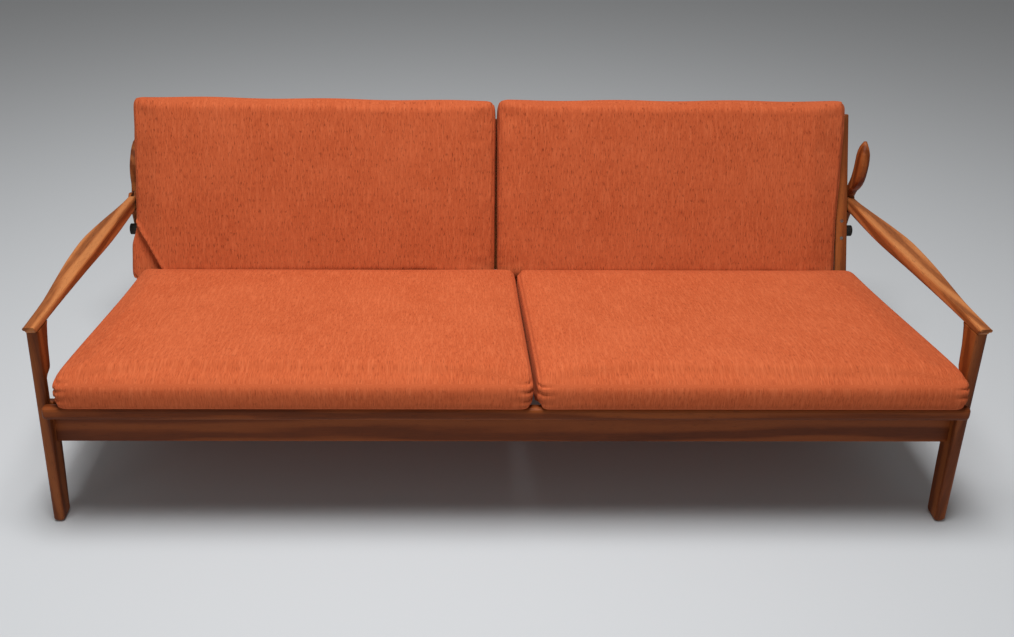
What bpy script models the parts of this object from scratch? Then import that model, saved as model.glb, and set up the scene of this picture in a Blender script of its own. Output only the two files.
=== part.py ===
"""Two-metre sofa with wooden legs that opens into a single bed.

Metres, +Z up, the sitter faces -Y and +X is the right-hand end in the front view.
The origin is on the floor at the middle of the sofa. Depths below are given from the plane
of the front legs' faces, which is MIDDLE_Y in front of the origin.

The pieces hang from empties, one for each assembly:
  end_frames      legs, arms, aprons, side rails and runners, all fixed
  runner_plane    glides and rest blocks that are fixed on the sloping runners
  lever_pivot_*   leaf-shaped release handles, pinned in the tops of the rear legs
  seat            slides forward along the sloping runners
  back            hinged to the rear of the seat, lies down flat as the seat comes out
"""
import math

import bmesh
import bpy
from mathutils import Matrix, Vector

# ---- driving dimensions ------------------------------------------------------------------
GAP = 0.0003                 # running clearance between pieces that touch
MIDDLE_Y = 0.4385            # from the front legs' faces back to the middle of the sofa

# end frames
ARM_INNER = 0.9615           # half the clear width between the two end frames
BOARD = 0.025                # thickness of the boards that legs and arms are cut from
ARM_FRONT_TOP = 0.522        # top of the arm at its front tip
ARM_REAR_TOP = 0.485         # and where it meets the rear upright
ARM_REAR_Y = 0.752
ARM_TIP_Y = -0.011           # the thin tip overhangs the legs' faces
ARM_BULGE = 0.029            # how far the arm swells outward at its widest
LEG_SPLAY = 0.0755           # outward lean of the legs, metres per metre of height
FRONT_SPLAY_TOP = 0.504      # the front legs lean from just under the arm
REAR_SPLAY_TOP = 0.40        # the rear legs are upright above this height
LEG_DEPTH = 0.054
TOE_ROUND, TOE_HEIGHT = 0.005, 0.012     # rounding of the feet
CORNER = 0.0055              # rounding of the sculpted boards

# rails of the fixed frame
APRON_TOP, APRON_BOTTOM = 0.2975, 0.213
APRON_FRONT, APRON_BACK = 0.022, 0.044
REAR_APRON_FRONT, REAR_APRON_BACK = 0.808, 0.828
REAR_APRON_TOP, REAR_APRON_BOTTOM = 0.196, 0.122
SIDE_RAIL_IN, SIDE_RAIL_OUT = 0.9815, 0.9985
SIDE_RAIL_HEIGHT = 0.072
RUNNER_IN = 0.932
RUNNER_HEIGHT = 0.022

# seat frame, in the sloping seat's own axes: u runs back along the seat, w is square to it
SEAT_TILT = math.radians(6.5)
SEAT_DATUM = 0.2985          # height of the runners' plane at y = 0
GLIDE = 0.006                # height of the nylon glides
GLIDE_X = (0.9335, 0.9515)
REST_BLOCK_TOP = 0.0175      # height of the blocks that carry the flat back
SEAT_HALF = 0.955
SEAT_RAIL = 0.025
SEAT_RAIL_W = (GLIDE, 0.036)
SEAT_END_U = 0.675
BAR_ENDS = (-0.982, 0.988)   # the bar sits a little to the right
BAR_U = (-0.030, -0.0055)
BAR_W = (0.0035, 0.0340)
STRAPS = 7
STRAP_WIDTH, STRAP_THICK = 0.058, 0.003

# back frame, in the back's own axes: y' runs to its rear, z' up along the stiles
BACK_RECLINE = math.radians(28.0)
HINGE_U, HINGE_W = 0.6926, 0.008
STILE_IN, STILE_OUT = 0.929, 0.9595
STILE_Y = (-0.078, -0.010)
STILE_Z = (0.025, 0.482)
BACK_RAIL_Y = (-0.030, -0.0062)
BOTTOM_RAIL_Z = (0.028, 0.062)
TOP_RAIL_Z = (0.440, 0.474)
SLATS = 7
SLAT_WIDTH = 0.042
SLAT_Y = (-0.0297, -0.0197)

# stop pegs on the stiles, which lean on the rear uprights
PEG_RADIUS = 0.015
PEG_Z, PEG_Y = 0.171, -0.028
PEG_OUT = 0.988
SCREW_RADIUS = 0.0045
SCREW_SPACING = 0.046

# release levers in the tops of the rear legs, positions across the end frame
LEVER_PIVOT = Vector((0, 0.7690, 0.4545))
LEVER_HEAD = 0.033           # radius of the leg's round top
LEVER_PIN_RADIUS = 0.004
TONGUE_X = (0.9700, 0.9780)
TONGUE_RADIUS = 0.011
LEVER_REST = {"left": math.radians(50.0), "right": 0.0}      # lean to the rear as they stand

# hinges
HINGE_X = 0.62
EYE_RADIUS, PIN_RADIUS = 0.006, 0.003
LEAF_WIDTH, LEAF_THICK, LEAF_LENGTH = 0.028, 0.003, 0.052

# cushions
SEAT_CUSHION_TOP = 0.1120
SEAT_CUSHION_BOTTOM = 0.0363
SEAT_CUSHION_FRONT = -0.024
SEAT_CUSHION_REAR = (0.588, 0.618)      # at its underside and at its top
SEAT_CUSHIONS_X = {"left": (-0.9455, 0.057), "right": (0.063, 0.9665)}
BACK_CUSHION_Z = (0.030, 0.508)
BACK_CUSHION_REAR = 0.0305
BACK_CUSHION_FRONT = (0.098, 0.131)     # at its foot and at its top
BACK_CUSHIONS_X = {"left": (-0.9585, 0.0055), "right": (0.0115, 0.9235)}

SIDES = {"left": -1, "right": 1}

# ---- collections, empties and finishes ---------------------------------------------------
for old in list(bpy.data.objects):
    bpy.data.objects.remove(old, do_unlink=True)

PARTS = bpy.data.collections.new("sofa_with_wooden_legs")
CUTTERS = bpy.data.collections.new("cutters")
bpy.context.scene.collection.children.link(PARTS)
bpy.context.scene.collection.children.link(CUTTERS)


def finish(name, colour, roughness, metallic=0.0):
    """A Principled material with one colour."""
    made = bpy.data.materials.new(name)
    made.use_nodes = True
    shader = made.node_tree.nodes["Principled BSDF"]
    shader.inputs["Base Color"].default_value = (*colour, 1.0)
    shader.inputs["Roughness"].default_value = roughness
    shader.inputs["Metallic"].default_value = metallic
    made.diffuse_color = (*colour, 1.0)
    return made


TEAK = finish("oiled_teak", (0.27, 0.085, 0.024), 0.42)
BEECH = finish("stained_beech", (0.33, 0.16, 0.065), 0.5)
CHENILLE = finish("rust_chenille", (0.55, 0.115, 0.043), 0.9)
WEBBING = finish("rubber_webbing", (0.07, 0.055, 0.045), 0.75)
NYLON = finish("nylon_glide", (0.62, 0.59, 0.52), 0.45)
STEEL = finish("zinc_plated_steel", (0.56, 0.55, 0.52), 0.35, 1.0)
BUFFER = finish("dark_rubber", (0.03, 0.024, 0.02), 0.8)


def assembly(name, location=(0, 0, 0), tilt=0.0):
    """An empty that carries one assembly, placed from the plane of the front legs' faces."""
    holder = bpy.data.objects.new(name, None)
    holder.location = Vector(location) - Vector((0, MIDDLE_Y, 0))
    holder.rotation_euler = (tilt, 0, 0)
    holder.empty_display_size = 0.1
    PARTS.objects.link(holder)
    return holder


def on_seat_plane(u, w):
    """World position of a point given along and square to the seat."""
    return Vector((0,
                   u * math.cos(SEAT_TILT) + w * math.sin(SEAT_TILT),
                   SEAT_DATUM - u * math.sin(SEAT_TILT) + w * math.cos(SEAT_TILT)))


END_FRAMES = assembly("end_frames")
SEAT = assembly("seat", on_seat_plane(0, 0), -SEAT_TILT)
RUNNER_PLANE = assembly("runner_plane", on_seat_plane(0, 0), -SEAT_TILT)
BACK = assembly("back", on_seat_plane(HINGE_U, HINGE_W), -BACK_RECLINE)
LEVERS = {label: assembly("lever_pivot_" + label, LEVER_PIVOT, -LEVER_REST[label]) for label in SIDES}


# ---- shapes ------------------------------------------------------------------------------
def add(name, mesh_data, material, holder):
    """Link a bmesh as a named part of one assembly."""
    bmesh.ops.recalc_face_normals(mesh_data, faces=mesh_data.faces)
    data = bpy.data.meshes.new(name)
    mesh_data.to_mesh(data)
    mesh_data.free()
    part = bpy.data.objects.new(name, data)
    part.parent = holder
    data.materials.append(material)
    PARTS.objects.link(part)
    return part


def rounded(part, width, segments=2):
    """Round the part's sharp edges."""
    edge = part.modifiers.new("rounded_edges", "BEVEL")
    edge.width = width
    edge.segments = segments
    edge.limit_method = "ANGLE"
    edge.angle_limit = math.radians(40)
    return part


def box(name, low, high, material, holder, edge=0.002, segments=2):
    """A block between two opposite corners, with eased edges."""
    block = bmesh.new()
    size = [high[i] - low[i] for i in range(3)]
    middle = [(high[i] + low[i]) / 2 for i in range(3)]
    bmesh.ops.create_cube(block, size=1.0, matrix=Matrix.Translation(middle) @ Matrix.Diagonal((*size, 1)))
    part = add(name, block, material, holder)
    return rounded(part, edge, segments) if edge else part


def steady_curve(knots, at):
    """A smooth value through (position, value) knots that never overshoots them."""
    if at <= knots[0][0]:
        return knots[0][1]
    if at >= knots[-1][0]:
        return knots[-1][1]
    spans = [(b[1] - a[1]) / (b[0] - a[0]) for a, b in zip(knots, knots[1:])]
    slopes = [spans[0]]
    for before, after in zip(spans, spans[1:]):
        slopes.append(2 * before * after / (before + after) if before * after > 0 else 0.0)
    slopes.append(spans[-1])
    i = next(k for k in range(len(spans)) if at <= knots[k + 1][0])
    width = knots[i + 1][0] - knots[i][0]
    t = (at - knots[i][0]) / width
    return ((2 * t**3 - 3 * t**2 + 1) * knots[i][1] + (t**3 - 2 * t**2 + t) * width * slopes[i]
            + (3 * t**2 - 2 * t**3) * knots[i + 1][1] + (t**3 - t**2) * width * slopes[i + 1])


def rounded_ring(a, b, radius, steps=2):
    """Corner-rounded rectangle between the ranges a and b, as (a, b) points in order."""
    r = min(radius, 0.49 * (a[1] - a[0]), 0.49 * (b[1] - b[0]))
    corners = [(a[1] - r, b[1] - r, 0), (a[0] + r, b[1] - r, 90),
               (a[0] + r, b[0] + r, 180), (a[1] - r, b[0] + r, 270)]
    ring = []
    for ca, cb, start in corners:
        for k in range(steps + 1):
            angle = math.radians(start + 90 * k / steps)
            ring.append((ca + r * math.cos(angle), cb + r * math.sin(angle)))
    return ring


def loft(name, rings, material, holder):
    """A closed solid through rings of matching points."""
    solid = bmesh.new()
    loops = [[solid.verts.new(point) for point in ring] for ring in rings]
    for near, far in zip(loops, loops[1:]):
        for k in range(len(near)):
            nxt = (k + 1) % len(near)
            solid.faces.new((near[k], near[nxt], far[nxt], far[k]))
    solid.faces.new(loops[0])
    solid.faces.new(loops[-1])
    part = add(name, solid, material, holder)
    part.data.shade_smooth()
    part.data.set_sharp_from_angle(angle=math.radians(40))
    return part


def upright_board(name, side, heights, x_in, x_out, y_front, y_back, ceiling=None):
    """A sculpted vertical board whose faces are functions of the height, cut off under a ceiling."""
    rings = []
    for z in heights:
        ring = rounded_ring((x_in(z), x_out(z)), (y_front(z), y_back(z)), CORNER)
        rings.append([(side * x, y, min(z, ceiling(y)) if ceiling else z) for x, y in ring])
    return loft(name, rings, TEAK, END_FRAMES)


def set_aside(helper):
    """Keep a Boolean's helper out of the object."""
    PARTS.objects.unlink(helper)
    CUTTERS.objects.link(helper)
    helper.hide_render = True
    helper.display_type = "WIRE"


def cut(part, low, high):
    """Take a rectangular mortise out of a part."""
    cutter = box(part.name + "_mortise", low, high, TEAK, END_FRAMES, edge=0)
    set_aside(cutter)
    mortise = part.modifiers.new("mortise", "BOOLEAN")
    mortise.operation = "DIFFERENCE"
    mortise.object = cutter
    return part


def unite(part, piece):
    """Make a helper piece part of the solid."""
    set_aside(piece)
    union = part.modifiers.new("joined", "BOOLEAN")
    union.operation = "UNION"
    union.object = piece
    return part


def join(part, low, high, holder=None):
    """Add a rectangular tenon to a part."""
    return unite(part, box(part.name + "_tenon", low, high, TEAK, holder or END_FRAMES, edge=0))


def mirrored(low, high, side):
    """The same block on the other side when side is -1."""
    if side > 0:
        return low, high
    return (-high[0], low[1], low[2]), (-low[0], high[1], high[2])


def grown(low, high, by=GAP):
    """A block enlarged all round, for a mortise that clears its tenon."""
    return tuple(v - by for v in low), tuple(v + by for v in high)


def rod(name, start, end, radius, material, holder, sides=16):
    """A round bar from start to end."""
    start, end = Vector(start), Vector(end)
    solid = bmesh.new()
    turn = (end - start).to_track_quat("Z", "Y").to_matrix().to_4x4()
    bmesh.ops.create_cone(solid, cap_ends=True, segments=sides, radius1=radius, radius2=radius,
                          depth=(end - start).length, matrix=Matrix.Translation((start + end) / 2) @ turn)
    part = add(name, solid, material, holder)
    part.data.shade_smooth()
    part.data.set_sharp_from_angle(angle=math.radians(40))
    return part


# ---- end frames --------------------------------------------------------------------------
def toe(z):
    """How far the foot's faces are rounded in at this height."""
    return TOE_ROUND * max(0.0, 1 - z / TOE_HEIGHT) ** 2


def front_lean(z):
    return LEG_SPLAY * max(0.0, FRONT_SPLAY_TOP - z)


def rear_lean(z):
    return LEG_SPLAY * max(0.0, REAR_SPLAY_TOP - z)


def arm_top(y):
    return ARM_FRONT_TOP + (ARM_REAR_TOP - ARM_FRONT_TOP) * y / ARM_REAR_Y


def arm_under(y):
    return arm_top(y) - steady_curve(ARM_THICKNESS, y)


ARM_THICKNESS = [(ARM_TIP_Y, 0.0075), (-0.006, 0.0095), (-0.0015, 0.0170), (0.0, 0.0183), (0.10, 0.0195),
                 (0.30, 0.025), (0.55, 0.034), (ARM_REAR_Y, 0.030)]
FRONT_LEG_DEPTH = [(0.0, 0.045), (0.213, 0.053), (0.305, LEG_DEPTH), (0.318, 0.021), (0.386, 0.021),
                   (0.398, 0.045), (0.45, 0.050), (0.505, 0.062)]
LEG_TENON = {"low": (ARM_INNER + 0.007, 0.014), "high": (ARM_INNER + 0.017, 0.042)}
LEG_TOP = 0.512
TENON_TOP = 0.5115

# mortise and tenon blocks of the rails, given for the right-hand end
APRON_TENON = ((0.0, 0.0280, 0.222), (0.9935, 0.0380, 0.248))
SIDE_TENON_FRONT = ((0.9860, 0.026, 0.252), (0.9940, 0.060, 0.284))
REAR_APRON_TENON = ((0.0, 0.8135, 0.130), (0.9960, 0.8225, 0.152))
SIDE_TENON_REAR = ((0.9860, 0.780, 0.164), (0.9940, 0.815, 0.200))


def front_leg(label, side):
    """Front leg: straight front face, waisted where the seat passes it, shouldered under the arm."""
    heights = [0.0, 0.004, 0.008, 0.012, 0.07, 0.14, 0.21, 0.26, 0.300, 0.307, 0.314, 0.320, 0.350, 0.384,
               0.390, 0.396, 0.402, 0.42, 0.45, 0.475, 0.492, LEG_TOP]

    leg = upright_board("front_leg_" + label, side, heights,
                        lambda z: ARM_INNER + front_lean(z) + toe(z),
                        lambda z: ARM_INNER + BOARD + front_lean(z) - toe(z),
                        toe,
                        lambda z: steady_curve(FRONT_LEG_DEPTH, z) - toe(z),
                        lambda y: arm_under(y) - GAP)
    low = (LEG_TENON["low"][0], LEG_TENON["low"][1], LEG_TOP - 0.020)
    high = (LEG_TENON["high"][0], LEG_TENON["high"][1], TENON_TOP)
    join(leg, *mirrored(low, high, side))
    cut(leg, *mirrored(*grown((0.97, *APRON_TENON[0][1:]), APRON_TENON[1]), side))
    cut(leg, *mirrored(*grown(*SIDE_TENON_FRONT), side))
    return leg


REAR_LEG_FRONT = [(0.0, 0.862), (0.20, 0.812), (0.33, 0.785), (0.40, 0.7665), (0.43, 0.760), (0.45, 0.7535),
                  (0.475, 0.7535)]
REAR_LEG_BACK = [(0.0, 0.892), (0.20, 0.855), (0.33, 0.828), (0.40, 0.810), (0.45, 0.7955), (0.475, 0.790)]


def rear_leg(label, side):
    """Rear leg: raked back, with a round top that is slotted for the lever's tongue."""
    heights = [0.0, 0.004, 0.008, 0.012, 0.07, 0.13, 0.20, 0.26, 0.33, 0.38, 0.42, 0.44, 0.455]

    def rounded_top(z):
        above = z - LEVER_PIVOT.z
        return math.sqrt(LEVER_HEAD**2 - above**2) if above > 0 else 2 * LEVER_HEAD

    for k in range(1, 8):
        heights.append(LEVER_PIVOT.z + LEVER_HEAD * math.sin(k * math.pi / 16))

    def front(z):
        return max(steady_curve(REAR_LEG_FRONT, z) + toe(z), LEVER_PIVOT.y - rounded_top(z))

    def back(z):
        limit = LEVER_PIVOT.y + rounded_top(z) if z > LEVER_PIVOT.z else math.inf
        return min(steady_curve(REAR_LEG_BACK, z) - toe(z), limit)

    leg = upright_board("rear_leg_" + label, side, heights,
                        lambda z: ARM_INNER + rear_lean(z) + toe(z),
                        lambda z: ARM_INNER + BOARD + rear_lean(z) - toe(z), front, back)
    cut(leg, *mirrored(*grown((0.96, *REAR_APRON_TENON[0][1:]), REAR_APRON_TENON[1]), side))
    cut(leg, *mirrored(*grown(*SIDE_TENON_REAR), side))
    low = (TONGUE_X[0] - GAP, 0.73, LEVER_PIVOT.z - TONGUE_RADIUS - 0.001)
    cut(leg, *mirrored(low, (TONGUE_X[1] + GAP, 0.83, 0.50), side))
    bore(leg, (side * 0.95, LEVER_PIVOT.y, LEVER_PIVOT.z), (side * 1.0, LEVER_PIVOT.y, LEVER_PIVOT.z),
         LEVER_PIN_RADIUS)
    return leg


LEAF_FRONT = [(0.034, -0.012), (0.050, -0.019), (0.075, -0.043), (0.105, -0.0555), (0.135, -0.0575),
              (0.165, -0.052), (0.185, -0.041), (0.1955, -0.030)]
LEAF_BACK = [(0.034, 0.012), (0.060, 0.004), (0.090, -0.008), (0.125, -0.0115), (0.155, -0.0105),
             (0.177, -0.013), (0.189, -0.018), (0.1955, -0.024)]


def lever(label, side):
    """Release lever: a leaf-shaped handle whose thin tongue is pinned in the rear leg's slot."""
    heights = [0.034, 0.038, 0.046, 0.055, 0.066, 0.078, 0.092, 0.107, 0.122, 0.138, 0.153, 0.167,
               0.179, 0.188, 0.193, 0.1955]

    def crown(t):
        return 0.0085 * max(0.0, (t - 0.155) / 0.0405) ** 2

    rings = []
    for t in heights:
        x_range = (ARM_INNER + GAP + crown(t), ARM_INNER + BOARD - crown(t))
        ring = rounded_ring(x_range, (steady_curve(LEAF_FRONT, t), steady_curve(LEAF_BACK, t)), 0.007)
        rings.append([(side * x, y, t) for x, y in ring])
    handle = loft("lever_" + label, rings, TEAK, LEVERS[label])
    tongue = bmesh.new()
    width = TONGUE_X[1] - TONGUE_X[0] - 2 * GAP
    middle = side * (TONGUE_X[0] + TONGUE_X[1]) / 2
    across = Matrix.Rotation(math.pi / 2, 4, "Y")
    bmesh.ops.create_cone(tongue, cap_ends=True, segments=24, radius1=TONGUE_RADIUS, radius2=TONGUE_RADIUS,
                          depth=width, matrix=Matrix.Translation((middle, 0, 0)) @ across)
    eye = add("lever_eye_" + label, tongue, TEAK, LEVERS[label])
    unite(handle, eye)
    low = (middle - width / 2, -TONGUE_RADIUS, 0.0)
    high = (middle + width / 2, TONGUE_RADIUS, 0.040)
    join(handle, low, high, LEVERS[label])
    bore(handle, (side * 0.95, 0, 0), (side * 1.0, 0, 0), LEVER_PIN_RADIUS)
    rod("lever_pin_" + label, (side * (ARM_INNER + 0.0015), LEVER_PIVOT.y, LEVER_PIVOT.z),
        (side * (ARM_INNER + BOARD - 0.0015), LEVER_PIVOT.y, LEVER_PIVOT.z), LEVER_PIN_RADIUS, STEEL,
        END_FRAMES, 16)


def arm(label, side):
    """Armrest: a straight inner face, a thin square tip and a flat top that swells outward."""
    outer = [(ARM_TIP_Y, 0.0), (0.10, 0.003), (0.20, 0.012), (0.33, 0.024), (0.45, ARM_BULGE),
             (0.56, 0.020), (0.66, 0.007), (0.72, 0.0005), (ARM_REAR_Y, -0.001)]
    stations = [ARM_TIP_Y, -0.0075, -0.0045, -0.0015, 0.002, 0.02, 0.05, 0.08, 0.12, 0.16, 0.20, 0.24, 0.28,
                0.32, 0.36, 0.40, 0.44, 0.48, 0.52, 0.56, 0.60, 0.64, 0.68, 0.71, 0.73, ARM_REAR_Y - GAP]
    rings = []
    for y in stations:
        x_range = (ARM_INNER, ARM_INNER + BOARD - 0.0005 + steady_curve(outer, y))
        ring = rounded_ring(x_range, (arm_under(y), arm_top(y)), 0.005)
        rings.append([(side * x, y, z) for x, z in ring])
    rest = loft("arm_" + label, rings, TEAK, END_FRAMES)
    low = (LEG_TENON["low"][0], LEG_TENON["low"][1], LEG_TOP - 0.02)
    high = (LEG_TENON["high"][0], LEG_TENON["high"][1], TENON_TOP)
    cut(rest, *mirrored(*grown(low, high), side))
    return rest


def bore(part, start, end, radius):
    """Drill a round hole for a pin or a screw."""
    drill = rod(part.name + "_drill", start, end, radius + GAP, TEAK, part.parent)
    set_aside(drill)
    hole = part.modifiers.new("bore", "BOOLEAN")
    hole.operation = "DIFFERENCE"
    hole.object = drill
    return part


def end_frame(label, side):
    """One complete end: two legs, the arm between them and the rail that ties them."""
    front_leg(label, side)
    rear_leg(label, side)
    arm(label, side)
    lever(label, side)
    side_rail(label, side)


def sloping_bar(name, x_range, y_range, top_w, height, material):
    """A bar whose top follows the seat's slope and whose ends are upright."""
    rings = []
    for y in y_range:
        top = SEAT_DATUM - y * math.tan(SEAT_TILT) + top_w / math.cos(SEAT_TILT)
        ring = rounded_ring(x_range, (top - height, top), 0.002)
        rings.append([(x, y, z) for x, z in ring])
    return loft(name, rings, material, END_FRAMES)


def side_rail(label, side):
    """Deep rail between the front and rear legs, with the runner that the seat slides on."""
    ends = (LEG_DEPTH + GAP + 0.0002, 0.8085)
    x_range = sorted((side * SIDE_RAIL_IN, side * SIDE_RAIL_OUT))
    rail = sloping_bar("side_rail_" + label, x_range, ends, -0.004, SIDE_RAIL_HEIGHT, TEAK)
    join(rail, *mirrored(*SIDE_TENON_FRONT, side))
    join(rail, *mirrored(*SIDE_TENON_REAR, side))
    x_range = sorted((side * RUNNER_IN, side * (SIDE_RAIL_IN - GAP)))
    sloping_bar("runner_" + label, x_range, (0.058, 0.775), 0.0, RUNNER_HEIGHT, BEECH)


def apron(name, y_range, z_range, inner_lean, tenon):
    """Cross rail between two legs, its ends cut to the legs' lean and tenoned into them."""
    rings = []
    for side in (-1, 1):
        ring = rounded_ring(y_range, z_range, 0.003)
        reach = [side * (ARM_INNER + inner_lean(z) - GAP) for y, z in ring]
        rings.append([(x, y, z) for x, (y, z) in zip(reach, ring)])
    rail = loft(name, rings, TEAK, END_FRAMES)
    for side in (-1, 1):
        low, high = (0.90, *tenon[0][1:]), tenon[1]
        join(rail, *mirrored(low, high, side))
    return rail


for label, side in SIDES.items():
    end_frame(label, side)
apron("front_apron", (APRON_FRONT, APRON_BACK), (APRON_BOTTOM, APRON_TOP), front_lean, APRON_TENON)
apron("rear_apron", (REAR_APRON_FRONT, REAR_APRON_BACK), (REAR_APRON_BOTTOM, REAR_APRON_TOP), rear_lean,
      REAR_APRON_TENON)


def runner_pads(label, side):
    """Glide at the front of the runner, and the block that carries the back when it lies flat."""
    pads = (("runner_glide_", (0.064, 0.104), GLIDE - GAP, NYLON),
            ("rest_block_", (0.715, 0.765), REST_BLOCK_TOP, BEECH))
    for stem, u_range, high_w, material in pads:
        x_range = sorted((side * GLIDE_X[0], side * GLIDE_X[1]))
        box(stem + label, (x_range[0], u_range[0], GAP), (x_range[1], u_range[1], high_w),
            material, RUNNER_PLANE, edge=0.001, segments=1)


for label, side in SIDES.items():
    runner_pads(label, side)


# ---- seat --------------------------------------------------------------------------------
def seat_frame():
    """Rounded front bar that closes against the legs, two side rails, a rear rail and the glides."""
    box("seat_front_bar", (BAR_ENDS[0], BAR_U[0], BAR_W[0]), (BAR_ENDS[1], BAR_U[1], BAR_W[1]), TEAK, SEAT,
        edge=0.009, segments=3)
    inner = SEAT_HALF - SEAT_RAIL
    for label, side in SIDES.items():
        x_range = sorted((side * inner, side * SEAT_HALF))
        box("seat_side_rail_" + label, (x_range[0], BAR_U[1] + GAP, SEAT_RAIL_W[0]),
            (x_range[1], SEAT_END_U, SEAT_RAIL_W[1]), BEECH, SEAT)
        x_range = sorted((side * GLIDE_X[0], side * GLIDE_X[1]))
        box("seat_glide_" + label, (x_range[0], 0.585, GAP), (x_range[1], 0.625, GLIDE - GAP), NYLON, SEAT,
            edge=0.001, segments=1)
    box("seat_rear_rail", (-inner + GAP, SEAT_END_U - SEAT_RAIL, SEAT_RAIL_W[0]),
        (inner - GAP, SEAT_END_U, SEAT_RAIL_W[1]), BEECH, SEAT)


def seat_webbing():
    """Rubber straps stretched from the front bar to the rear rail."""
    pitch = 2 * (SEAT_HALF - SEAT_RAIL) / STRAPS
    top = SEAT_RAIL_W[1] - 0.0005
    for i in range(STRAPS):
        x = (i - (STRAPS - 1) / 2) * pitch
        box("seat_strap_%d" % (i + 1), (x - STRAP_WIDTH / 2, BAR_U[1] + GAP, top - STRAP_THICK - 0.004),
            (x + STRAP_WIDTH / 2, SEAT_END_U - SEAT_RAIL - GAP, top - 0.004), WEBBING, SEAT, edge=0)


def cushion_block(name, rings, holder, edge=0.018):
    """Plain closed solid of a cushion, with soft edges."""
    block = loft(name, rings, CHENILLE, holder)
    return rounded(block, edge, 2)


def seat_cushion(label):
    """Seat cushion: lies on the straps, its rear face leans back with the back cushion."""
    rings = []
    for x in SEAT_CUSHIONS_X[label]:
        rings.append([(x, SEAT_CUSHION_FRONT, SEAT_CUSHION_BOTTOM),
                      (x, SEAT_CUSHION_REAR[0], SEAT_CUSHION_BOTTOM),
                      (x, SEAT_CUSHION_REAR[1], SEAT_CUSHION_TOP), (x, SEAT_CUSHION_FRONT, SEAT_CUSHION_TOP)])
    cushion_block("seat_cushion_" + label, rings, SEAT)


seat_frame()
seat_webbing()
for label in SIDES:
    seat_cushion(label)


# ---- back --------------------------------------------------------------------------------
def back_frame():
    """Two deep stiles, a top and a bottom rail, and upright slats between the rails."""
    for label, side in SIDES.items():
        x_range = sorted((side * STILE_IN, side * STILE_OUT))
        box("back_stile_" + label, (x_range[0], STILE_Y[0], STILE_Z[0]), (x_range[1], STILE_Y[1], STILE_Z[1]),
            TEAK, BACK, edge=0.004)
    reach = STILE_IN - GAP
    for name, z_range in (("back_bottom_rail", BOTTOM_RAIL_Z), ("back_top_rail", TOP_RAIL_Z)):
        box(name, (-reach, BACK_RAIL_Y[0], z_range[0]), (reach, BACK_RAIL_Y[1], z_range[1]), TEAK, BACK)
    pitch = 2 * STILE_IN / SLATS
    for i in range(SLATS):
        x = (i - (SLATS - 1) / 2) * pitch
        box("back_slat_%d" % (i + 1), (x - SLAT_WIDTH / 2, SLAT_Y[0], BOTTOM_RAIL_Z[1] + GAP),
            (x + SLAT_WIDTH / 2, SLAT_Y[1], TOP_RAIL_Z[0] - GAP), TEAK, BACK, edge=0.0015)


def stop_peg(label, side):
    """Rubber-sleeved peg on the outside of the stile, and the two screws that hold its plate."""
    stile = bpy.data.objects["back_stile_" + label]
    rod("stop_peg_" + label, (side * (STILE_OUT + GAP), PEG_Y, PEG_Z), (side * PEG_OUT, PEG_Y, PEG_Z),
        PEG_RADIUS, BUFFER, BACK, 24)
    x = side * (STILE_IN + STILE_OUT) / 2
    for word, z in (("lower", PEG_Z - SCREW_SPACING / 2), ("upper", PEG_Z + SCREW_SPACING / 2)):
        front = STILE_Y[0]
        head = (x, front + 0.0004, z), (x, front + 0.022, z)
        bore(stile, (x, front - 0.01, z), (x, front + 0.022 + GAP, z), SCREW_RADIUS)
        rod("stile_screw_%s_%s" % (word, label), *head, SCREW_RADIUS, STEEL, BACK, 12)


def back_cushion(label):
    """Back cushion: sits between the stiles on the slats and stands proud of them."""
    left, right = BACK_CUSHIONS_X[label]
    nested = max(left, -STILE_IN + 2 * GAP)
    rear, step = BACK_CUSHION_REAR, -STILE_Y[0] + 2 * GAP
    rings = []
    for z, front in zip(BACK_CUSHION_Z, BACK_CUSHION_FRONT):
        outline = [(nested, -rear), (right, -rear), (right, -front), (left, -front)]
        if nested > left:
            outline += [(left, -step), (nested, -step)]
        rings.append([(x, y, z) for x, y in outline])
    cushion_block("back_cushion_" + label, rings, BACK, edge=0.006)


back_frame()
for label, side in SIDES.items():
    stop_peg(label, side)
    back_cushion(label)


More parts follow.
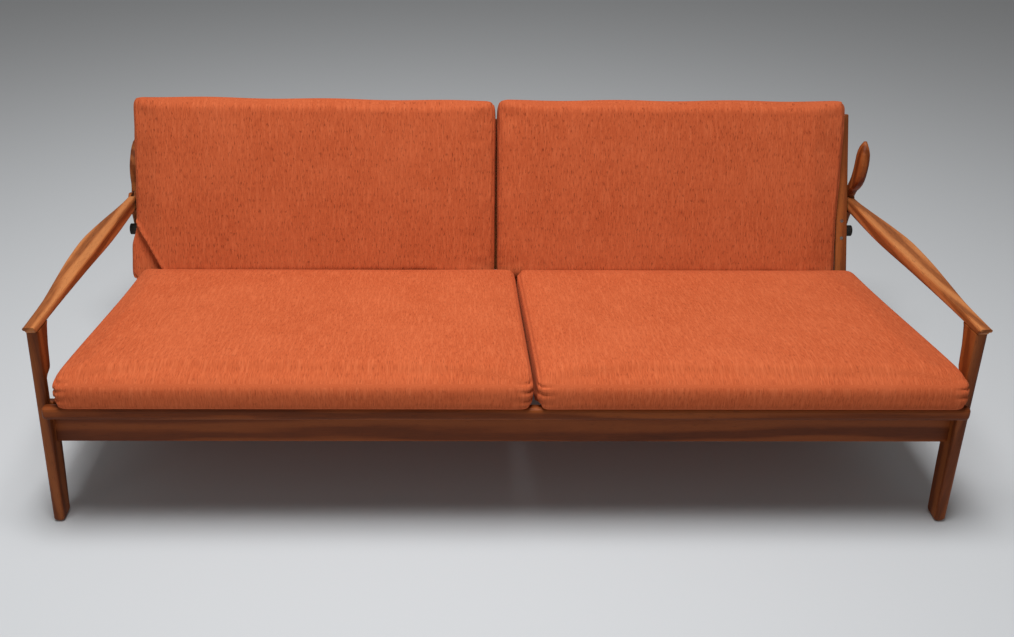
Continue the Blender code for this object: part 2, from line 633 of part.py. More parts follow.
# ---- hinges ------------------------------------------------------------------------------
def hinge_leaf(name, start_x, holder, turn):
    """A strap with a round eye: the outline is drawn in the plane across the pin."""
    low, high = -EYE_RADIUS + 0.0007, -EYE_RADIUS + 0.0007 + LEAF_THICK
    first = math.pi - math.asin(low / EYE_RADIUS) - 2 * math.pi
    last = math.pi - math.asin(high / EYE_RADIUS)
    arc = [first + (last - first) * k / 16 for k in range(17)]
    outline = [(EYE_RADIUS * math.cos(a), EYE_RADIUS * math.sin(a)) for a in arc]
    outline += [(-LEAF_LENGTH, high), (-LEAF_LENGTH, low)]
    hole = [((PIN_RADIUS + GAP) * math.cos(k * math.pi / 6), (PIN_RADIUS + GAP) * math.sin(k * math.pi / 6))
            for k in range(12)]
    shape = bpy.data.curves.new(name, "CURVE")
    shape.dimensions = "2D"
    shape.fill_mode = "BOTH"
    shape.extrude = LEAF_WIDTH / 2
    for points in (outline, hole):
        spline = shape.splines.new("POLY")
        spline.points.add(len(points) - 1)
        for point, (a, b) in zip(spline.points, points):
            point.co = (a, b, 0, 1)
        spline.use_cyclic_u = True
    drawn = bpy.data.objects.new(name, shape)
    PARTS.objects.link(drawn)
    solid = bmesh.new()
    evaluated = drawn.evaluated_get(bpy.context.evaluated_depsgraph_get())
    solid.from_mesh(bpy.data.meshes.new_from_object(evaluated))
    bpy.data.objects.remove(drawn, do_unlink=True)
    bmesh.ops.remove_doubles(solid, verts=solid.verts, dist=0.00005)
    lay = Matrix(((0, 0, 1, start_x + LEAF_WIDTH / 2), (1, 0, 0, 0), (0, 1, 0, 0), (0, 0, 0, 1)))
    bmesh.ops.transform(solid, matrix=turn @ lay, verts=solid.verts)
    return add(name, solid, STEEL, holder)


def hinge(label, side):
    """Strap hinge: one leaf under the seat's rear rail, one behind the back's bottom rail, one pin."""
    start = side * HINGE_X - LEAF_WIDTH
    at_seat = Matrix.Translation((0, HINGE_U, HINGE_W))
    hinge_leaf("hinge_seat_leaf_" + label, start, SEAT, at_seat)
    stand = Matrix.Rotation(-math.pi / 2, 4, "X")
    hinge_leaf("hinge_back_leaf_" + label, start + LEAF_WIDTH + GAP, BACK, stand)
    rod("hinge_pin_" + label, (start - 0.002, HINGE_U, HINGE_W),
        (start + 2 * LEAF_WIDTH + GAP + 0.002, HINGE_U, HINGE_W), PIN_RADIUS, STEEL, SEAT, 12)


for label, side in SIDES.items():
    hinge(label, side)
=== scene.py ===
"""A two-metre sofa with sculpted teak ends and rust chenille cushions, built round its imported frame."""
import math

import bmesh
import bpy
import numpy as np
from mathutils import Matrix, Vector


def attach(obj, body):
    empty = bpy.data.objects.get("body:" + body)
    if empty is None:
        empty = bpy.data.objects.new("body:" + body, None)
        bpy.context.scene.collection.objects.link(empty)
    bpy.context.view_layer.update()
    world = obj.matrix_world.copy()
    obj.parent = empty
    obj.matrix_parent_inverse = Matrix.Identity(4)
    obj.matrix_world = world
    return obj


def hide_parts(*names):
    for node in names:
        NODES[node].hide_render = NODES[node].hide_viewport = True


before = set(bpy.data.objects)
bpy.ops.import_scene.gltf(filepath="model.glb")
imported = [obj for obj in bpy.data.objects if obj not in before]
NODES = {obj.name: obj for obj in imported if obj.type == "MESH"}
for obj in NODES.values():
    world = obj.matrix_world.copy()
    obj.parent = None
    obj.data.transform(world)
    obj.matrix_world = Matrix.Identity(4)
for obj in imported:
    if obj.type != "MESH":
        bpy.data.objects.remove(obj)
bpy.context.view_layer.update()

SIDES = ("left", "right")


# ---- end frames --------------------------------------------------------------------------
# Each end is two splayed legs and an arm, sawn from solid teak, shaped by hand and oiled. The
# wood is orange-brown with darker growth bands and short pores.
class Wire:
    """An output in a material's node tree that can be calculated with."""

    def __init__(self, finish, socket):
        self.finish = finish
        self.socket = socket

    def maths(self, operation, a, b=0.0):
        return self.finish.node("ShaderNodeMath", {"operation": operation}, {0: a, 1: b})

    def __add__(self, other):
        return self.maths("ADD", self, other)

    __radd__ = __add__

    def __mul__(self, other):
        return self.maths("MULTIPLY", self, other)

    __rmul__ = __mul__

    def __sub__(self, other):
        return self.maths("SUBTRACT", self, other)

    def __rsub__(self, other):
        return self.maths("SUBTRACT", other, self)

    def __abs__(self):
        return self.maths("ABSOLUTE", self)

    def over(self, low, high):
        """0 below low and 1 above high, eased between them."""
        return self.finish.node("ShaderNodeMapRange", {"interpolation_type": "SMOOTHSTEP"},
                                {0: self, 1: low, 2: high, 3: 0.0, 4: 1.0})


class Finish:
    """A material built up from nodes round one Principled shader."""

    def __init__(self, name, **constants):
        self.material = bpy.data.materials.new(name)
        self.material.use_nodes = True
        self.shader = self.material.node_tree.nodes["Principled BSDF"]
        for socket, value in constants.items():
            self.shader.inputs[socket.replace("_", " ")].default_value = value

    def node(self, kind, settings=None, inputs=None, out=0):
        """Add a node: its settings first, then the values or links of its sockets."""
        made = self.material.node_tree.nodes.new(kind)
        for name, value in (settings or {}).items():
            if name == "stops":
                ramp = made.color_ramp.elements
                for k, (position, colour) in enumerate(value):
                    stop = ramp[k] if k < 2 else ramp.new(position)
                    stop.position, stop.color = position, (*colour, 1.0)
            else:
                setattr(made, name, value)
        for name, value in (inputs or {}).items():
            if isinstance(value, Wire):
                self.material.node_tree.links.new(value.socket, made.inputs[name])
            else:
                made.inputs[name].default_value = value
        return Wire(self, made.outputs[out])

    def place(self, turn=(0, 0, 0), shrink=(1, 1, 1), shift=(0, 0, 0)):
        """The point on the object, turned so that Z is the grain, then divided by shrink."""
        point = self.node("ShaderNodeTexCoord", out="Object")
        return self.node("ShaderNodeMapping", {"vector_type": "TEXTURE"},
                         {"Vector": point, "Rotation": turn, "Scale": shrink, "Location": shift})

    def noise(self, point, scale, detail=3.0, roughness=0.5, distortion=0.0):
        return self.node("ShaderNodeTexNoise", None,
                         {"Vector": point, "Scale": scale, "Detail": detail, "Roughness": roughness,
                          "Distortion": distortion})

    def split(self, vector):
        return [self.node("ShaderNodeSeparateXYZ", None, {0: vector}, out=k) for k in range(3)]

    def mix(self, share, a, b, blend="MIX"):
        """Two colours mixed, each a colour or a wire."""
        ends = [colour if isinstance(colour, Wire) else (*colour, 1.0) for colour in (a, b)]
        return self.node("ShaderNodeMix", {"data_type": "RGBA", "blend_type": blend},
                         {0: share, 6: ends[0], 7: ends[1]}, out=2)

    def feed(self, **links):
        for name, wire in links.items():
            self.material.node_tree.links.new(wire.socket, self.shader.inputs[name.replace("_", " ")])

    def bump(self, height, distance, strength=1.0):
        self.feed(Normal=self.node("ShaderNodeBump", None,
                                   {"Height": height, "Distance": distance, "Strength": strength}))


def wear_finish(finish, *names):
    """Give CAD nodes this finish."""
    for name in names:
        for holder in NODES[name].material_slots:
            holder.material = finish.material


GRAIN_UP = (0.0, 0.0, 0.0)
GRAIN_BACK = (math.radians(-90), 0.0, 0.0)
GRAIN_ACROSS = (0.0, math.radians(90), 0.0)


def teak(name, grain, light=(0.34, 0.098, 0.024), body=(0.205, 0.048, 0.010),
         dark=(0.070, 0.015, 0.004), shift=(0.0, 0.0, 0.0), roughness=0.46):
    """Oiled teak whose grain runs along the turned Z."""
    wood = Finish(name, Roughness=roughness, IOR=1.5, Specular_IOR_Level=0.15)
    coarse = wood.place(grain, (1, 1, 9), shift)
    drift = wood.noise(coarse, 9.0, 2.0)
    wander = wood.noise(coarse, 38.0, 3.0)
    x, y, _ = wood.split(coarse)
    growth = (x * 0.62 + y * 0.85) * 210.0 + drift * 16.0 + wander * 3.2
    bands = wood.node("ShaderNodeMath", {"operation": "SINE"}, {0: growth}) * 0.5 + 0.5
    fine = wood.place(grain, (1, 1, 26), shift)
    fibre = wood.noise(fine, 420.0, 4.0, 0.65)
    pores = wood.noise(fine, 1150.0, 2.0, 0.5).over(0.60, 0.72)
    patch = wood.noise(wood.place(grain, (1, 1, 3.5), shift), 7.0, 2.0)
    tone = bands.over(0.15, 1.0) * 0.38 + fibre * 0.34 + patch * 0.30
    colour = wood.node("ShaderNodeValToRGB", {"stops": [(0.16, dark), (0.42, body), (0.86, light)]},
                       {0: tone})
    colour = wood.mix(pores * 0.55, colour, (0.055, 0.016, 0.007))
    wood.feed(Base_Color=colour, Roughness=0.12 * fibre + pores * 0.18 + (roughness - 0.06))
    wood.bump(fibre * 0.5 - pores * 0.8, 0.00035, 0.55)
    return wood


upright_teak = teak("oiled_teak_legs", GRAIN_UP)
# The arms wear a lighter copy of the legs' teak: painted light, standing in for the overhead light on their
# tops.
arm_teak_painted_light = teak("oiled_teak_arms_painted_light", GRAIN_BACK, light=(0.56, 0.215, 0.070), body=(0.36, 0.112, 0.031))
for side in SIDES:
    wear_finish(upright_teak, "front_leg_" + side, "rear_leg_" + side, "lever_" + side)
    wear_finish(arm_teak_painted_light, "arm_" + side)


# ---- rails of the fixed frame ------------------------------------------------------------
# Two long aprons and two side rails of the same teak tie the ends together. A beech runner is
# glued inside each side rail, with a nylon glide at its front and a beech rest block at its rear.
# The aprons, the seat's front bar and the back rails wear a darker copy of the legs' teak: painted shade,
# standing in for the shade under the cushions.
long_teak_painted_shade = teak("oiled_teak_rails_painted_shade", GRAIN_ACROSS, body=(0.190, 0.041, 0.008), light=(0.300, 0.075, 0.016))
side_teak = teak("oiled_teak_side_rails", GRAIN_BACK, body=(0.165, 0.035, 0.007), shift=(0.3, 0.0, 0.2))
wear_finish(long_teak_painted_shade, "front_apron", "rear_apron")
beech = teak("stained_beech", GRAIN_BACK, light=(0.50, 0.27, 0.12), body=(0.33, 0.16, 0.065),
             dark=(0.20, 0.085, 0.030), roughness=0.55)
cross_beech = teak("stained_beech_rail", GRAIN_ACROSS, light=(0.50, 0.27, 0.12), body=(0.33, 0.16, 0.065),
                   dark=(0.20, 0.085, 0.030), roughness=0.55)
nylon = Finish("nylon", Base_Color=(0.62, 0.59, 0.52, 1.0), Roughness=0.42)
scuffs = nylon.noise(nylon.place((0, 0, 0), (1, 12, 1)), 260.0, 3.0)
nylon.feed(Base_Color=nylon.mix(scuffs.over(0.4, 0.75) * 0.5, (0.62, 0.59, 0.52), (0.40, 0.37, 0.31)))
nylon.bump(scuffs, 0.0002, 0.4)
for side in SIDES:
    wear_finish(side_teak, "side_rail_" + side)
    wear_finish(beech, "runner_" + side, "rest_block_" + side)
    wear_finish(nylon, "runner_glide_" + side)


# ---- release levers ----------------------------------------------------------------------
# A leaf of teak stands in a slot at the top of each rear leg and turns on a steel pin, whose
# ends are dull zinc. The left one is laid back behind its cushion.
zinc = Finish("zinc_plated_steel", Base_Color=(0.56, 0.55, 0.52, 1.0), Roughness=0.38, Metallic=1.0)
bloom = zinc.noise(zinc.place(), 320.0, 3.0)
zinc.feed(Roughness=bloom.over(0.3, 0.8) * 0.25 + 0.26,
          Base_Color=zinc.mix(bloom.over(0.45, 0.8), (0.56, 0.55, 0.52), (0.34, 0.31, 0.26)))
zinc.bump(bloom, 0.0001, 0.3)
for side in SIDES:
    wear_finish(zinc, "lever_pin_" + side, "hinge_pin_" + side, "hinge_seat_leaf_" + side,
                "hinge_back_leaf_" + side)


# ---- seat frame --------------------------------------------------------------------------
# A teak bar with rounded edges closes against the legs. Behind it, two beech side rails and a
# rear rail carry seven straps of dark rubber webbing, and the side rails ride on nylon glides.
# The bar's darker teak is painted shade, standing in for the shade under the cushions' lip.
wear_finish(long_teak_painted_shade, "seat_front_bar")
wear_finish(cross_beech, "seat_rear_rail")
for side in SIDES:
    wear_finish(beech, "seat_side_rail_" + side)
    wear_finish(nylon, "seat_glide_" + side)

webbing = Finish("rubber_webbing", Base_Color=(0.07, 0.055, 0.045, 1.0), Roughness=0.72)
across, along, _ = webbing.split(webbing.place())
WEAVE_PITCH = 2 * math.pi / 0.0030
weft = webbing.node("ShaderNodeMath", {"operation": "SINE"}, {0: along * WEAVE_PITCH})
warp = webbing.node("ShaderNodeMath", {"operation": "SINE"}, {0: across * WEAVE_PITCH})
weave = (weft * warp).over(-0.6, 0.9)
webbing.feed(Base_Color=webbing.mix(weave, (0.035, 0.027, 0.022), (0.105, 0.083, 0.066)))
webbing.bump(weave, 0.0005, 0.8)
STRAPS = sorted(name for name in NODES if name.startswith("seat_strap_"))
wear_finish(webbing, *STRAPS)


# ---- seat cushions -----------------------------------------------------------------------
# Foam blocks in covers of slubby rust chenille. One panel wraps over the top and down the front,
# and side panels are sewn in along the corners, where the cloth puckers at the front.
SEAT_TILT = math.radians(-6.5)
BACK_TILT = math.radians(-28.0)


def chenille(name, tilt, flecks, lit, body, deep):
    """Chenille whose pile runs front to back over the seat, or upright over the back."""
    cloth = Finish(name, Roughness=0.95, Sheen_Weight=0.06, Sheen_Roughness=0.5,
                   Sheen_Tint=(1.0, 0.45, 0.22, 1.0), Specular_IOR_Level=0.12)
    point = cloth.place((tilt, 0, 0))
    facing = cloth.node("ShaderNodeMapping", {"vector_type": "TEXTURE"},
                        {"Vector": cloth.node("ShaderNodeTexCoord", out="Normal"), "Rotation": (tilt, 0, 0)})
    sideways, _, upward = cloth.split(facing)
    ends = abs(sideways).over(0.62, 0.80)
    lying = abs(upward).over(0.60, 0.78)
    x, y, z = cloth.split(point)
    across = x * (1 - ends) + y * ends
    along = y * lying + z * (1 - lying)

    def threads(width, run, detail=2.0, roughness=0.5):
        """Noise stretched to threads of this width and run, in metres."""
        spot = cloth.node("ShaderNodeCombineXYZ", None, {0: across * (1 / width), 1: along * (1 / run)})
        return cloth.noise(spot, 1.0, detail, roughness)

    yarn = threads(0.0015, 0.018, 3.0, 0.65)
    slub = threads(0.0060, 0.060)
    dash = threads(0.0027, 0.015, 1.0)
    shade = cloth.noise(point, 6.0, 2.0)
    fleck = tuple(0.45 * part for part in deep)
    colour = cloth.mix(yarn.over(0.27, 0.72) * 0.74 + 0.26, deep, body)
    colour = cloth.mix(slub.over(0.42, 0.78) * 0.36, colour, lit)
    colour = cloth.mix(dash.over(0.60, 0.70) * flecks, colour, fleck)
    colour = cloth.mix(shade.over(0.35, 0.75) * 0.16, colour, lit)
    cloth.feed(Base_Color=colour)
    cloth.bump(yarn * 0.5 + slub * 0.3 - dash.over(0.62, 0.76) * 0.35, 0.0008, 0.5)
    return cloth


def turned(spots, tilt):
    """World points in the cushion's own axes."""
    return spots @ np.array(Matrix.Rotation(-tilt, 3, "X")).T


def ease(value, low, high):
    """0 below low and 1 above high, for arrays."""
    t = np.clip((value - low) / (high - low), 0.0, 1.0)
    return t * t * (3 - 2 * t)


def bake_shape(piece):
    """Replace a piece's mesh by what its modifiers make of it."""
    bpy.context.view_layer.update()
    shaped = bpy.data.meshes.new_from_object(piece.evaluated_get(bpy.context.evaluated_depsgraph_get()))
    piece.modifiers.clear()
    piece.data = shaped
    shaped.shade_smooth()


def points_of(piece):
    spots = np.empty(len(piece.data.vertices) * 3)
    piece.data.vertices.foreach_get("co", spots)
    return spots.reshape(-1, 3)


def normals_of(piece):
    ways = np.empty(len(piece.data.vertices) * 3)
    piece.data.vertex_normals.foreach_get("vector", ways)
    return ways.reshape(-1, 3)


def set_points(piece, spots):
    piece.data.vertices.foreach_set("co", spots.ravel())
    piece.data.update()


def foam_block(name, profile, x_range, rolls, side_roll, voxel):
    """A block of foam: a profile in y and z, run from side to side, each corner with its own roll."""
    block = bmesh.new()
    loops = [[block.verts.new((x, y, z)) for y, z in profile] for x in x_range]
    count = len(profile)
    for k in range(count):
        block.faces.new((loops[0][k], loops[0][(k + 1) % count], loops[1][(k + 1) % count], loops[1][k]))
    block.faces.new(loops[0][::-1])
    block.faces.new(loops[1])
    bmesh.ops.recalc_face_normals(block, faces=block.faces)
    data = bpy.data.meshes.new(name)
    block.to_mesh(data)
    block.free()
    widest = max(*rolls, side_roll)
    shares = data.attributes.new("bevel_weight_edge", "FLOAT", "EDGE").data
    for edge in data.edges:
        start, end = [data.vertices[k].co for k in edge.vertices]
        roll = side_roll
        if abs(start.x - end.x) > 0.01:
            roll = rolls[min(range(count), key=lambda k: math.dist(profile[k], (start.y, start.z)))]
        shares[edge.index].value = roll / widest
    piece = bpy.data.objects.new(name, data)
    bpy.context.scene.collection.objects.link(piece)
    soft = piece.modifiers.new("soft_edges", "BEVEL")
    soft.width, soft.segments, soft.limit_method = widest, 5, "WEIGHT"
    even = piece.modifiers.new("even", "REMESH")
    even.mode, even.voxel_size = "VOXEL", voxel
    bake_shape(piece)
    return piece


SLACK = 0.004                # the foam is this much smaller than its cover at the ends
VOXEL = 0.0095
PRESSURE, CROWN_LIMIT = 3.5, 0.010
DRAW_LIMIT, SLIDE_LIMIT = 0.0022, 0.0015       # how far the cloth may be drawn in, or along itself


def stuff(piece, held, pressure, cap):
    """Blow the cover up round its foam: held gives each point's share of staying put."""
    start, ways = points_of(piece), normals_of(piece)
    group = piece.vertex_groups.new(name="held")
    shares = np.round(held, 1)
    for level in np.unique(shares):
        group.add([int(i) for i in np.flatnonzero(shares == level)], float(level), "REPLACE")
    cover = piece.modifiers.new("cover", "CLOTH")
    cover.settings.quality = 4
    cover.settings.mass = 0.25
    cover.settings.tension_stiffness = 14
    cover.settings.compression_stiffness = 14
    cover.settings.shear_stiffness = 6
    cover.settings.bending_stiffness = 1.2
    cover.settings.vertex_group_mass = "held"
    cover.settings.pin_stiffness = 1.0
    cover.settings.use_pressure = True
    cover.settings.uniform_pressure_force = pressure
    cover.settings.effector_weights.gravity = 0.0
    cover.collision_settings.use_collision = False
    cover.point_cache.frame_start, cover.point_cache.frame_end = 1, 20
    for step in range(1, 21):
        bpy.context.scene.frame_set(step)
    bake_shape(piece)
    bpy.context.scene.frame_set(1)
    moved = points_of(piece) - start
    outward = np.sum(moved * ways, axis=1, keepdims=True)
    sideways = moved - outward * ways
    drift = np.linalg.norm(sideways, axis=1, keepdims=True)
    sideways *= np.minimum(1.0, SLIDE_LIMIT / np.maximum(drift, 1e-9))
    set_points(piece, start + sideways + ways * np.clip(outward, -DRAW_LIMIT, cap))


def finer(piece):
    smooth = piece.modifiers.new("finer", "SUBSURF")
    smooth.levels = smooth.render_levels = 1
    bake_shape(piece)


def fitted(spots, low, high):
    """The points stretched to reach these lowest and highest corners exactly."""
    share = (spots - spots.min(0)) / (spots.max(0) - spots.min(0))
    return np.array(low) + share * (np.array(high) - np.array(low))


def puckers(local, low, high, phase):
    """How far the front panel is gathered in by short level folds beside its corner seams."""
    beside = np.stack([local[:, 0] - low[0], high[0] - local[:, 0]])
    front = 1 - ease(local[:, 1], low[1] + 0.012, low[1] + 0.045)
    band = ease(local[:, 2], low[2] + 0.008, low[2] + 0.018)
    band *= 1 - ease(local[:, 2], high[2] - 0.022, high[2])
    folds = np.zeros(len(local))
    for k in range(2):
        height = local[:, 2] - low[2] + 0.004 * np.sin(11.0 * k + phase)
        wave = np.maximum(0.0, np.sin(height * 2 * math.pi / PUCKER_PITCH + phase + 1.9 * k)) ** 2
        folds += wave * np.exp(-(np.maximum(0.0, beside[k] - 0.010) / PUCKER_REACH) ** 2)
    return folds * front * band


PUCKER_PITCH, PUCKER_REACH, PUCKER_DEPTH = 0.0195, 0.022, 0.0042


def seam_line(facing, across):
    """Where the side panels are sewn to the panel that wraps round the cushion."""
    return np.exp(-((np.abs(facing[:, 0]) - across) / 0.13) ** 2)


def to_world(piece, local, tilt, origin):
    """Place points given in a cushion's own axes."""
    set_points(piece, turned(local, -tilt) + np.array(origin))


# The seat cushions' axes start at the middle of the frame, on the runners' plane at the front legs'
# faces. They lie on the front bar and the straps.
SEAT_ORIGIN = (0.0, -0.4385, 0.2985)
SEAT_SPAN = {"left": (-0.9560, 0.0594), "right": (0.0606, 0.9790)}
SEAT_FRONT, SEAT_REAR_LOW, SEAT_REAR_HIGH = -0.0375, 0.588, 0.618
SEAT_UNDER, SEAT_TOP = 0.0345, 0.1175
BAR_EDGE, LIP_DROP = -0.0190, 0.0055       # where the bar's rounded edge starts, and the lip over it
REAR_DRAW = {"left": 0.016, "right": 0.012}
rust_seat = chenille("rust_chenille_seat", SEAT_TILT, 0.34, (0.72, 0.185, 0.072), (0.575, 0.122, 0.041),
                     (0.330, 0.050, 0.015))
for side, phase in (("left", 0.4), ("right", 2.1)):
    x_range = SEAT_SPAN[side]
    profile = [(SEAT_FRONT + SLACK, SEAT_UNDER + 0.002), (SEAT_REAR_LOW, SEAT_UNDER + 0.002),
               (SEAT_REAR_HIGH, SEAT_TOP - 0.008), (SEAT_FRONT + SLACK, SEAT_TOP - 0.008)]
    cushion = foam_block("chenille_seat_" + side, profile, (x_range[0] + SLACK, x_range[1] - SLACK),
                         (0.015, 0.014, 0.022, 0.038), 0.019, VOXEL)
    facing = normals_of(cushion)
    held = np.maximum(ease(-facing[:, 2], 0.3, 0.8), 0.8 * seam_line(facing, 0.7))
    held = np.maximum(held, 0.9 * ease(facing[:, 1], 0.4, 0.8))
    stuff(cushion, held, PRESSURE, CROWN_LIMIT)
    finer(cushion)
    local = points_of(cushion)
    rear = SEAT_REAR_LOW + (SEAT_REAR_HIGH - SEAT_REAR_LOW) * ease(local[:, 2], SEAT_UNDER, SEAT_TOP)
    local = fitted(local, (x_range[0], SEAT_FRONT, SEAT_UNDER), (x_range[1], SEAT_REAR_HIGH, SEAT_TOP))
    local[:, 1] = np.minimum(local[:, 1], rear + 0.004)
    set_points(cushion, local)
    facing = normals_of(cushion)
    low, high = local.min(0), local.max(0)
    depth = 0.0030 * seam_line(facing, 0.70) + PUCKER_DEPTH * puckers(local, low, high, phase)
    # the front roll is deeper at the top edge, and the sitter's place is worn a little hollow
    front_share = 1 - ease(local[:, 1], low[1], low[1] + 0.10)
    top_share = ease(local[:, 2], low[2] + 0.03, high[2])
    middle = (x_range[0] + x_range[1]) / 2
    worn = 0.004 * np.exp(-((local[:, 0] - middle) / 0.26) ** 2 - ((local[:, 1] - 0.30) / 0.16) ** 2)
    local = local - facing * depth[:, None]
    local[:, 2] -= (0.009 * front_share**2 + worn) * top_share
    lip = ease(BAR_EDGE - local[:, 1], 0.0, 0.012)
    lip *= 1 - ease(local[:, 2], SEAT_UNDER, SEAT_UNDER + 0.030)
    local[:, 2] -= LIP_DROP * lip
    outer = -1 if side == "left" else 1
    outside = ease(outer * local[:, 0], 0.80, 0.96)
    local[:, 0] -= outer * REAR_DRAW[side] * outside * ease(local[:, 1], 0.0, 0.55)
    # behind the front the two cushions are pressed square against each other
    inner_end = x_range[1] if side == "left" else x_range[0]
    pressed = ease(local[:, 1], -0.016, 0.010) * ease(SEAT_UNDER + 0.026 - local[:, 2], 0.0, 0.012)
    pressed *= 1 - ease(np.abs(inner_end - local[:, 0]), 0.018, 0.030)
    local[:, 0] += 0.9 * pressed * (inner_end - local[:, 0])
    to_world(cushion, local, SEAT_TILT, SEAT_ORIGIN)
    cushion.data.materials.append(rust_seat.material)
    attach(cushion, "seat")
    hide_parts("seat_cushion_" + side)


# ---- back frame --------------------------------------------------------------------------
# Two deep teak stiles joined by a top and a bottom rail, with seven thin slats between them.
stile_teak = teak("oiled_teak_stiles", (BACK_TILT, 0, 0), body=(0.24, 0.064, 0.016))
slat_teak = teak("oiled_teak_slats", (BACK_TILT, 0, 0), shift=(0.4, 0.1, 0.0))
SLATS = sorted(name for name in NODES if name.startswith("back_slat_"))
wear_finish(slat_teak, *SLATS)
wear_finish(long_teak_painted_shade, "back_top_rail", "back_bottom_rail")
rubber = Finish("dark_rubber", Base_Color=(0.03, 0.024, 0.02, 1.0), Roughness=0.75)
dust = rubber.noise(rubber.place(), 180.0, 3.0)
rubber.feed(Base_Color=rubber.mix(dust.over(0.4, 0.8) * 0.6, (0.022, 0.018, 0.015), (0.075, 0.06, 0.048)))
rubber.bump(dust, 0.0002, 0.5)
for side in SIDES:
    wear_finish(stile_teak, "back_stile_" + side)
    wear_finish(rubber, "stop_peg_" + side)
    wear_finish(zinc, "stile_screw_lower_" + side, "stile_screw_upper_" + side)


# ---- back cushions -----------------------------------------------------------------------
# The same foam and cloth, standing on the seat against the slats, with the pile upright. The left
# one laps over its stile, and the outer corner of its foot is tucked back.
BACK_ORIGIN = (0.0, 0.250553, 0.228044)
BACK_SPAN = {"left": (-0.9595, 0.0075), "right": (0.0095, 0.9265)}
BACK_REAR, BACK_FOOT, BACK_HEAD = -0.0312, -0.100, -0.1325
BACK_LOW, BACK_HIGH = 0.029, 0.515
STILE_INNER, STILE_FRONT = -0.9280, -0.0795
CROWN = 0.009                # room left for the front panel to swell
TUCK_WIDTH, TUCK_HEIGHT = 0.100, 0.175
SPREAD = 0.012
FLATTENING = 0.96            # how much of the padding behind the stile's front is pressed flat
OVER_STILE = 0.014           # how far the top of the right one laps over its stile
# The backs wear the seat's chenille a little darker: painted shade, standing in for fronts that face away
# from the overhead light.
rust_back_painted_shade = chenille("rust_chenille_back_painted_shade", BACK_TILT, 0.62, (0.66, 0.165, 0.064), (0.530, 0.110, 0.036),
                     (0.285, 0.042, 0.013))
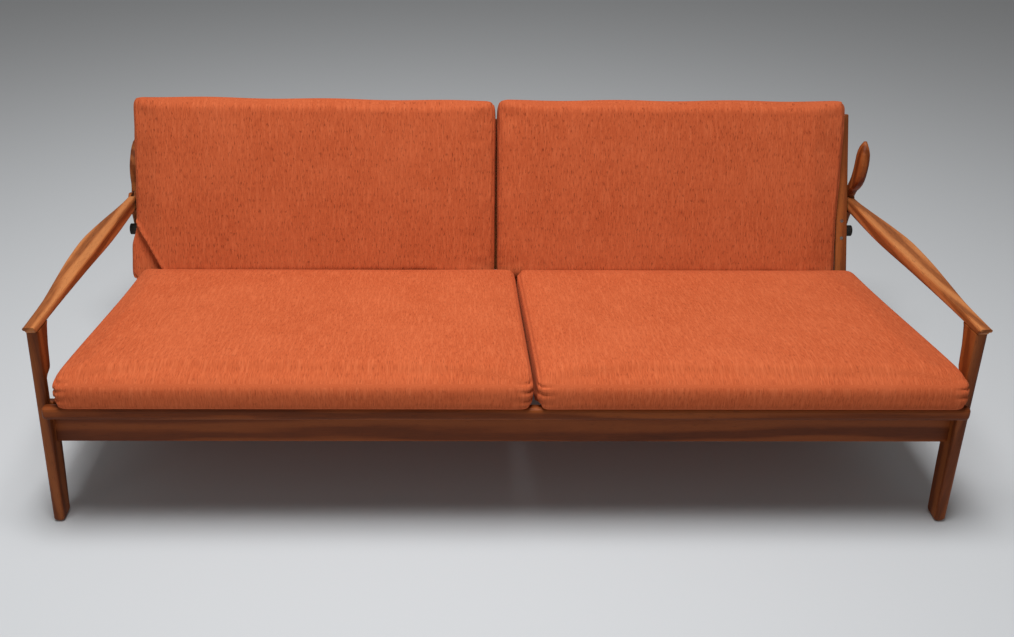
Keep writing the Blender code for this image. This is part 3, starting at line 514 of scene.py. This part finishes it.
for side, phase in (("left", 1.2), ("right", 3.0)):
    x_range = BACK_SPAN[side]
    profile = [(BACK_REAR - 0.002, BACK_LOW + SLACK), (BACK_REAR - 0.002, BACK_HIGH - SLACK),
               (BACK_HEAD + CROWN, BACK_HIGH - SLACK), (BACK_FOOT + CROWN, BACK_LOW + SLACK)]
    cushion = foam_block("chenille_back_" + side, profile, (x_range[0] + SLACK, x_range[1] - SLACK),
                         (0.018, 0.018, 0.022, 0.020), 0.020, VOXEL)
    facing = normals_of(cushion)
    held = np.maximum(ease(facing[:, 1], 0.3, 0.8), 0.8 * seam_line(facing, 0.7))
    stuff(cushion, held, PRESSURE, CROWN_LIMIT)
    finer(cushion)
    local = fitted(points_of(cushion), (x_range[0], BACK_HEAD, BACK_LOW),
                   (x_range[1], BACK_REAR, BACK_HIGH))
    set_points(cushion, local)
    facing = normals_of(cushion)
    low, high = local.min(0), local.max(0)
    depth = 0.0028 * seam_line(facing, 0.70)
    local = local - facing * depth[:, None]
    # the top edge sags between its corners
    width = (local[:, 0] - low[0]) / (high[0] - low[0])
    crest = ease(local[:, 2], high[2] - 0.12, high[2])
    local[:, 2] -= 0.003 * crest * np.sin(width * 2 * math.pi * 1.5 + phase) ** 2
    if side == "left":
        local[:, 2] += 0.006 * crest * (1 - width) - 0.003 * crest * width
    if side == "right":
        proud = ease(-local[:, 1], -STILE_FRONT, -STILE_FRONT + 0.008)
        over_stile = proud * ease(local[:, 2], 0.10, 0.46)
        local[:, 0] += OVER_STILE * over_stile * ease(local[:, 0], 0.86, 0.92)
    if side == "left":
        inward = (local[:, 0] - low[0]) / TUCK_WIDTH
        upward = (local[:, 2] - low[2]) / TUCK_HEIGHT
        share = np.clip(1 - inward - upward, 0.0, 1.0)
        room = np.maximum(0.0, STILE_FRONT - 0.004 - local[:, 1])
        brim = np.exp(-((share - 0.06) / 0.05) ** 2) * (share > 0)
        local[:, 1] += np.minimum(room, 0.30 * np.maximum(0.0, share - 0.05)) - 0.010 * brim
        # below the arm there is room for the padding to spread past the stile
        spread = (1 - ease(local[:, 2], 0.12, 0.18)) * (1 - ease(local[:, 0], -0.955, -0.925))
        local[:, 0] -= SPREAD * spread
        beyond = local[:, 0] < STILE_INNER
        padding = np.maximum(0.0, local[:, 1] - STILE_FRONT)
        local[:, 1] -= np.where(beyond, FLATTENING * padding, 0.0)
    to_world(cushion, local, BACK_TILT, BACK_ORIGIN)
    cushion.data.materials.append(rust_back_painted_shade.material)
    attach(cushion, "back")
    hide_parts("back_cushion_" + side)


# ---- floor, light and camera -------------------------------------------------------------
# A pale matt floor, a wide soft box overhead and to the front, and an even pale surround.
floor_data = bpy.data.meshes.new("floor")
plane = bmesh.new()
bmesh.ops.create_grid(plane, x_segments=1, y_segments=1, size=15.0)
plane.to_mesh(floor_data)
plane.free()
floor = bpy.data.objects.new("floor", floor_data)
bpy.context.scene.collection.objects.link(floor)
matt = Finish("pale_floor", Base_Color=(0.60, 0.62, 0.64, 1.0), Roughness=0.9)
floor_data.materials.append(matt.material)


def soft_box(name, place, aim, size, power):
    """A square area light aimed at a point."""
    lamp = bpy.data.lights.new(name, "AREA")
    lamp.shape, lamp.size, lamp.energy = "SQUARE", size, power
    box = bpy.data.objects.new(name, lamp)
    box.location = place
    box.rotation_euler = (Vector(aim) - Vector(place)).to_track_quat("-Z", "Y").to_euler()
    bpy.context.scene.collection.objects.link(box)


soft_box("key", (-0.25, -0.62, 3.9), (0, -0.05, 0.35), 1.5, 153)
soft_box("fill", (-2.2, -3.2, 1.6), (0, 0, 0.30), 2.4, 7)
world = bpy.data.worlds.new("surround")
bpy.context.scene.world = world
world.use_nodes = True
world.node_tree.nodes["Background"].inputs["Color"].default_value = (1.0, 0.98, 0.96, 1.0)
world.node_tree.nodes["Background"].inputs["Strength"].default_value = 0.17
bpy.context.scene.view_settings.view_transform = "Standard"

YAW, PITCH, ROLL = math.radians(0.53), math.radians(30.0), math.radians(0.37)
lens = bpy.data.cameras.new("camera")
lens.sensor_width, lens.lens = 36.0, 35.503
lens.shift_x = 0.0562
camera = bpy.data.objects.new("camera", lens)
camera.matrix_world = (Matrix.Translation((-0.1365, -2.1945, 1.554)) @ Matrix.Rotation(-YAW, 4, "Z")
                       @ Matrix.Rotation(math.pi / 2 - PITCH, 4, "X") @ Matrix.Rotation(ROLL, 4, "Z"))
bpy.context.scene.collection.objects.link(camera)
bpy.context.scene.camera = camera
